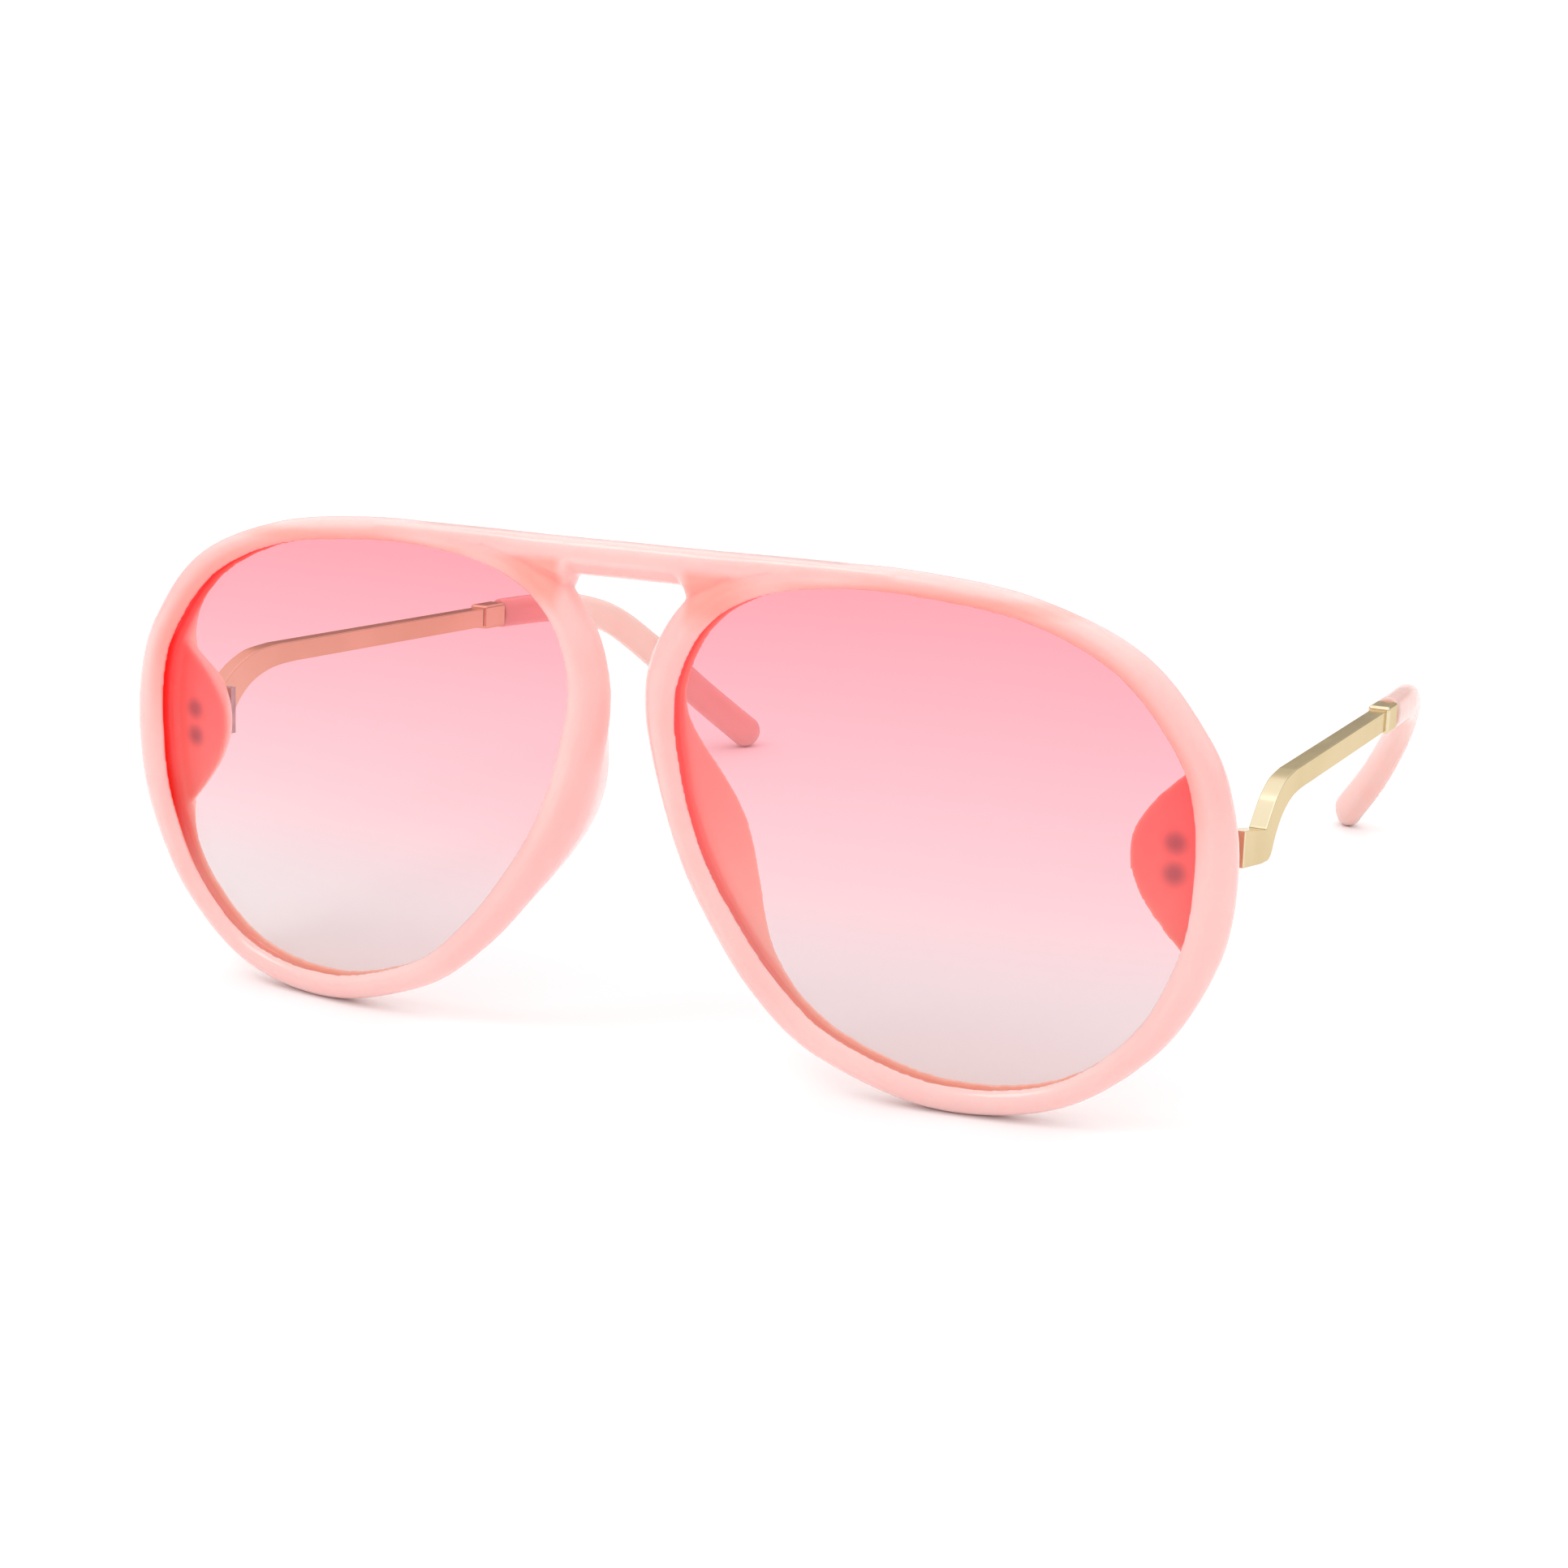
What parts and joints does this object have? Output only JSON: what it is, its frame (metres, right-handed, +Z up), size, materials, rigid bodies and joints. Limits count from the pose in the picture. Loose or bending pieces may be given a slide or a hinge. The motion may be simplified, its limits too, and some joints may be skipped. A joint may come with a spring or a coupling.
{
  "type": "sunglasses",
  "caption": "Oversized teardrop sunglasses with a moulded front, gradient curved lenses and two folding stepped metal temples with moulded tips.",
  "frame": {"origin": "middle of the footprint, on the surface the glasses stand on (rim bottoms and temple tips touch it)", "axes": "+X to the wearer's left, +Y backwards along the open temples, +Z up; the front faces -Y"},
  "size_m": [0.148, 0.1325, 0.0612],
  "materials": {
    "frame_pink": "glossy, slightly translucent peach-pink moulded plastic",
    "lens_rose": "gradient rose tint, clear at the bottom",
    "pale_gold": "polished pale gold",
    "hinge_steel": "satin nickel",
    "tip_pink": "translucent pale pink acetate"
  },
  "bodies": {
    "front": {"front_frame": "frame_pink", "lens_left": "lens_rose", "lens_right": "lens_rose", "hinge_front_leaf_left": "hinge_steel", "hinge_screw_left": "hinge_steel", "hinge_rivet_lower_left": "hinge_steel", "hinge_rivet_upper_left": "hinge_steel", "hinge_front_leaf_right": "hinge_steel", "hinge_screw_right": "hinge_steel", "hinge_rivet_lower_right": "hinge_steel", "hinge_rivet_upper_right": "hinge_steel"},
    "temple_left": {"hinge_temple_leaf_left": "hinge_steel", "temple_bar_left": "pale_gold", "temple_collar_left": "pale_gold", "tip_core_left": "hinge_steel", "temple_tip_left": "tip_pink"},
    "temple_right": {"hinge_temple_leaf_right": "hinge_steel", "temple_bar_right": "pale_gold", "temple_collar_right": "pale_gold", "tip_core_right": "hinge_steel", "temple_tip_right": "tip_pink"}
  },
  "joints": [
    {"name": "fold_left", "type": "hinge", "parent": "front", "child": "temple_left", "pos_m": [0.0696, -0.05074, 0.03186], "axis": [0, 0.0952, 0.9955], "range_deg": [0, 82]},
    {"name": "fold_right", "type": "hinge", "parent": "front", "child": "temple_right", "pos_m": [-0.0696, -0.05074, 0.03186], "axis": [0, -0.0952, -0.9955], "range_deg": [0, 72]}
  ]
}
